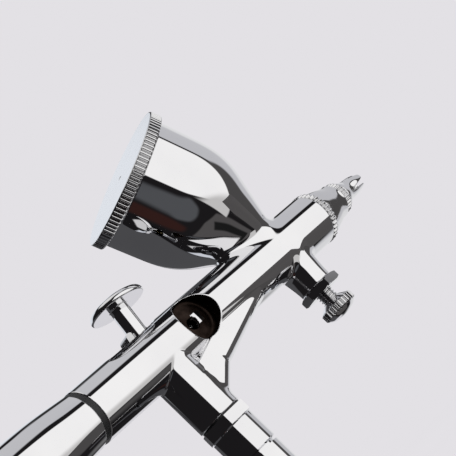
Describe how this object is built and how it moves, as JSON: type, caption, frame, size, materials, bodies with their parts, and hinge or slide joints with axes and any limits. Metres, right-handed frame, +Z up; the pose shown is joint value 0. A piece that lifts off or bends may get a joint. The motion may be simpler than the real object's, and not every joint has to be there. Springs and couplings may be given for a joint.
{
  "type": "airbrush gun",
  "caption": "Double-action airbrush gun in chrome with a tilted gravity cup and knurled lid, side feed socket, finger trigger, air adjusting screw and hose inlet.",
  "frame": {"origin": "centre of the hose connector's bottom face, on the air valve's axis", "axes": "+X forward along the needle towards the nozzle, +Y to the left, +Z up along the air valve's axis towards the trigger"},
  "size_m": [0.1649, 0.0304, 0.0739],
  "materials": {
    "chrome_plate": "mirror polished chrome plate",
    "steel": "bright stainless steel",
    "brass": "machined brass",
    "black_rubber": "smooth black rubber",
    "white_ptfe": "white low-friction plastic"
  },
  "bodies": {
    "body": {"body_shell": "chrome_plate", "paint_cup": "chrome_plate", "nozzle_head": "chrome_plate", "nozzle_seal": "white_ptfe", "fluid_nozzle": "brass", "air_cap": "chrome_plate", "crown_cap": "chrome_plate", "needle_packing": "white_ptfe", "packing_screw": "brass", "lever_pin": "steel", "needle_spring": "steel", "spring_case": "chrome_plate", "handle": "chrome_plate", "handle_seal": "black_rubber", "air_valve_casing": "chrome_plate", "casing_seal": "black_rubber", "plunger_o_ring": "black_rubber", "valve_spring": "steel", "valve_guide_screw": "brass", "mac_nut": "chrome_plate"},
    "lid": {"cup_lid": "chrome_plate"},
    "plunger": {"valve_plunger": "brass", "trigger_pin": "steel", "valve_o_ring": "black_rubber"},
    "trigger": {"trigger": "chrome_plate"},
    "lever": {"auxiliary_lever": "steel"},
    "needle_carriage": {"needle": "steel", "needle_guide": "chrome_plate", "needle_chuck_nut": "chrome_plate"},
    "adjusting_seal": {"mac_o_ring": "black_rubber"},
    "adjusting_screw": {"mac_screw": "chrome_plate"},
    "stop_seal": {"stop_o_ring": "black_rubber"},
    "stop_screw": {"stop_screw": "chrome_plate"}
  },
  "joints": [
    {"name": "lid_lift", "type": "slide", "parent": "body", "child": "lid", "axis": [-0.4384, 0, 0.8988], "range_m": [0, 0.03]},
    {"name": "trigger_press", "type": "slide", "parent": "body", "child": "plunger", "axis": [0, 0, -1], "range_m": [0, 0.002], "stiffness_N_per_m": 700, "springref_m": -0.0015, "deforming": ["valve_spring"]},
    {"name": "trigger_pull", "type": "hinge", "parent": "plunger", "child": "trigger", "pos_m": [-0.0009, 0, 0.03], "axis": [0, -1, 0], "range_deg": [0, 20]},
    {"name": "lever_rock", "type": "hinge", "parent": "body", "child": "lever", "pos_m": [-0.0044, 0, 0.03105], "axis": [0, -1, 0], "range_deg": [0, 23]},
    {"name": "needle_slide", "type": "slide", "parent": "body", "child": "needle_carriage", "axis": [-1, 0, 0], "range_m": [0, 0.00216], "stiffness_N_per_m": 200, "springref_m": -0.004, "deforming": ["needle_spring"]},
    {"name": "adjusting_travel", "type": "slide", "parent": "body", "child": "adjusting_seal", "axis": [0, 0, 1], "range_m": [-0.0007, 0.00175]},
    {"name": "adjusting_turn", "type": "hinge", "parent": "adjusting_seal", "child": "adjusting_screw", "pos_m": [0.0425, 0, 0.018], "axis": [0, 0, 1], "range_deg": [-360, 900]},
    {"name": "stop_travel", "type": "slide", "parent": "body", "child": "stop_seal", "axis": [1, 0, 0], "range_m": [0, 0.002]},
    {"name": "stop_turn", "type": "hinge", "parent": "stop_seal", "child": "stop_screw", "pos_m": [-0.0884, 0, 0.034], "axis": [1, 0, 0], "range_deg": [0, 1440]}
  ],
  "couplings": [
    {"joint": "lever_rock", "follows": "trigger_pull", "ratio": 1.15},
    {"joint": "needle_slide", "follows": "trigger_pull", "m_per_rad": 0.006184},
    {"joint": "adjusting_turn", "follows": "adjusting_travel", "rad_per_m": 8976},
    {"joint": "stop_turn", "follows": "stop_travel", "rad_per_m": 12566}
  ]
}
